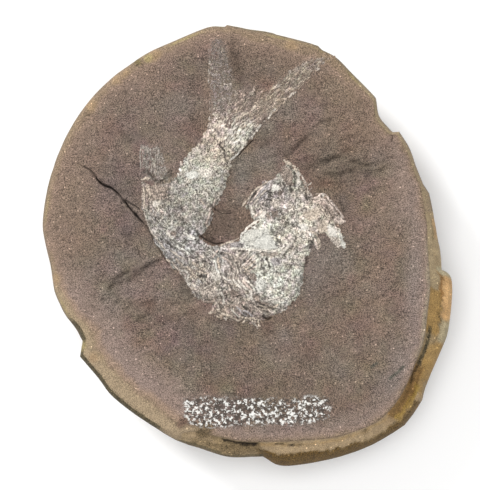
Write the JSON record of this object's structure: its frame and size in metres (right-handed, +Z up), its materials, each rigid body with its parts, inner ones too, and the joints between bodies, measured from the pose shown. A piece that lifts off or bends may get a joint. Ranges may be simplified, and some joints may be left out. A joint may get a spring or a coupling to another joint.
{
  "type": "fossil fish slab",
  "caption": "Half of a split ironstone nodule with a coiled fossil fish in its flat face, a worn rind round the rim and a rounded back that rests on a flat spot.",
  "frame": {"origin": "on the resting surface, under the middle of the stone's outline", "axes": "+Z up, out of the split face; +Y towards the fish's tail; +X to the right, seen from above"},
  "size_m": [0.0926, 0.0998, 0.0226],
  "materials": {
    "ironstone": "matt, fine-grained"
  },
  "bodies": {
    "root": {"slab": "ironstone"}
  },
  "joints": []
}
